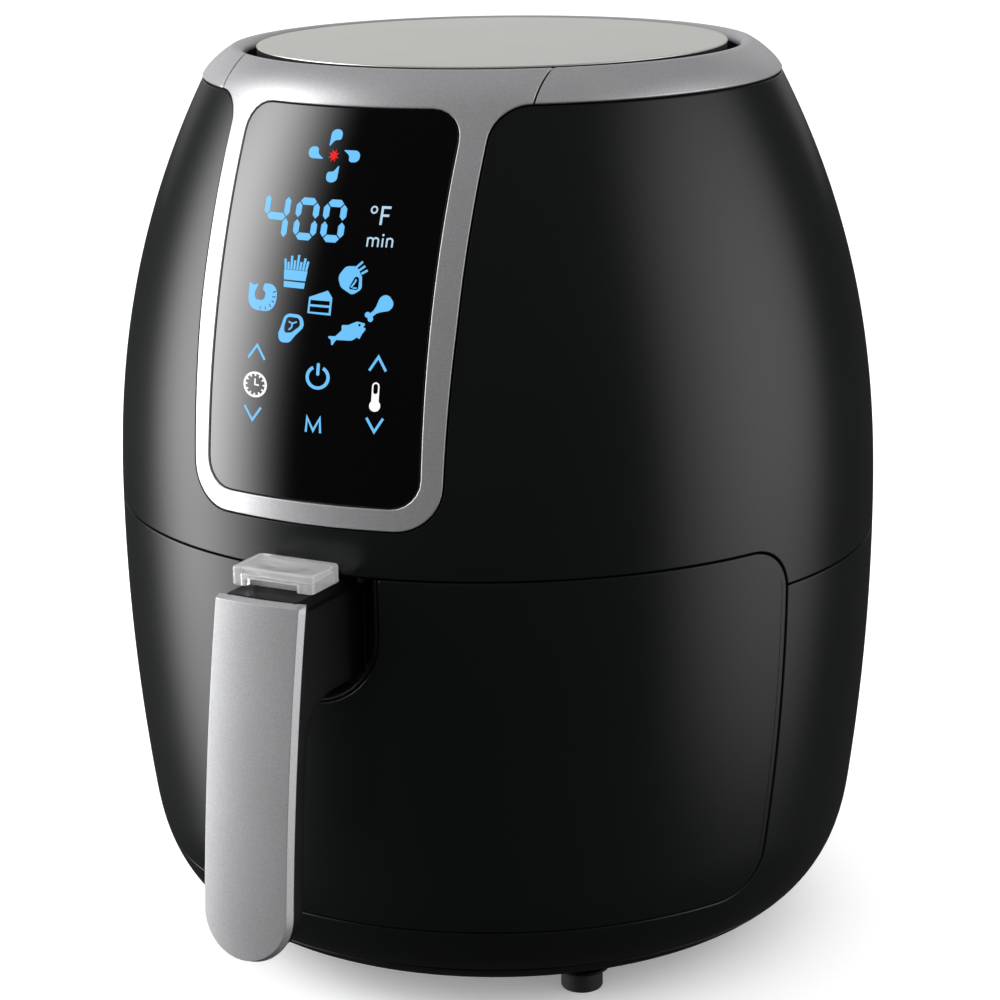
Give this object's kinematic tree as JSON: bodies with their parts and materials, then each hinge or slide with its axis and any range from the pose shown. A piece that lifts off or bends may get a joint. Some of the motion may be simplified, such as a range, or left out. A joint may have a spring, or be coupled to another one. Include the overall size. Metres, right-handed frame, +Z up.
{
  "type": "air fryer",
  "caption": "Round countertop air fryer with a pull-out drawer, inner basket, front handle with a guarded release button, touch display and top air intake.",
  "frame": {"origin": "middle of the bounding box at the level of the feet, which stand on z = 0", "axes": "+Z up, -Y towards the user (the drawer pulls out along -Y), +X to the right seen from the front"},
  "size_m": [0.268, 0.3124, 0.3172],
  "materials": {
    "black_shell": "satin gloss black moulding",
    "black_plastic": "fine textured black moulding",
    "silver_paint": "satin metallic silver paint with a fine sparkle",
    "cover_metal": "fine brushed, warm grey",
    "display_glass": "high gloss black with printed icons lit from behind",
    "clear_plastic": "clear, slightly frosted",
    "rubber": "matt black",
    "inner_plastic": "heat resistant black moulding",
    "white_plastic": "natural white moulding",
    "sheet_steel": "galvanised sheet",
    "non_stick": "dark speckled non-stick coating",
    "element_steel": "heat tinted steel",
    "circuit_board": "green solder mask",
    "bright_steel": "bright steel"
  },
  "bodies": {
    "housing": {"upper_housing": "black_shell", "lower_housing": "black_shell", "base_cover": "black_plastic", "rear_vent_grille": "black_plastic", "cord_inlet": "black_plastic", "front_bezel": "silver_paint", "rear_top_ring": "silver_paint", "display_lens": "display_glass", "light_guide": "white_plastic", "control_board": "circuit_board", "top_cover": "cover_metal", "top_carrier": "inner_plastic", "front_frame": "inner_plastic", "chamber_liner": "sheet_steel", "chamber_dome": "sheet_steel", "heating_element": "element_steel", "heater_guard": "bright_steel", "drawer_rail_left": "bright_steel", "drawer_rail_right": "bright_steel", "interlock_switch": "white_plastic", "motor_bracket": "sheet_steel", "shaft_bearing": "bright_steel", "fan_motor": "element_steel", "temperature_sensor": "bright_steel", "thermal_fuse": "white_plastic", "power_board": "circuit_board", "exhaust_duct": "sheet_steel", "mains_lead": "rubber", "foot_front_left": "rubber", "foot_screw_front_left": "bright_steel", "foot_front_right": "rubber", "foot_screw_front_right": "bright_steel", "foot_rear_left": "rubber", "foot_screw_rear_left": "bright_steel", "foot_rear_right": "rubber", "foot_screw_rear_right": "bright_steel"},
    "rotor": {"motor_shaft": "bright_steel", "convection_fan": "sheet_steel", "cooling_fan": "inner_plastic", "fan_nut": "bright_steel"},
    "drawer": {"drawer_front": "black_shell", "drawer_inner_panel": "sheet_steel", "handle_escutcheon": "black_plastic", "pan": "non_stick", "pan_screw_left": "bright_steel", "pan_screw_right": "bright_steel", "basket": "non_stick", "basket_bracket": "sheet_steel", "handle_trim": "silver_paint", "handle_core": "black_plastic", "bracket_screw_left": "bright_steel", "bracket_screw_right": "bright_steel", "button_spring_left": "bright_steel", "button_spring_right": "bright_steel"},
    "button": {"release_button": "black_plastic"},
    "latch": {"latch_slide": "white_plastic"},
    "guard": {"button_guard": "clear_plastic"}
  },
  "joints": [
    {"name": "drawer_slide", "type": "slide", "parent": "housing", "child": "drawer", "axis": [0, -1, 0], "range_m": [0, 0.24]},
    {"name": "guard_slide", "type": "slide", "parent": "drawer", "child": "guard", "axis": [0, -1, 0], "range_m": [0, 0.012]},
    {"name": "button_press", "type": "slide", "parent": "drawer", "child": "button", "axis": [0, 0, -1], "range_m": [0, 0.003], "stiffness_N_per_m": 500, "springref_m": -0.002, "deforming": ["button_spring_left", "button_spring_right"]},
    {"name": "latch_shift", "type": "slide", "parent": "drawer", "child": "latch", "axis": [0, -1, 0], "range_m": [0, 0.003]},
    {"name": "fan_spin", "type": "hinge", "parent": "housing", "child": "rotor", "pos_m": [0, 0.01421, 0.2], "axis": [0, 0, 1], "continuous": true}
  ],
  "couplings": [
    {"joint": "latch_shift", "follows": "button_press", "ratio": 1}
  ]
}
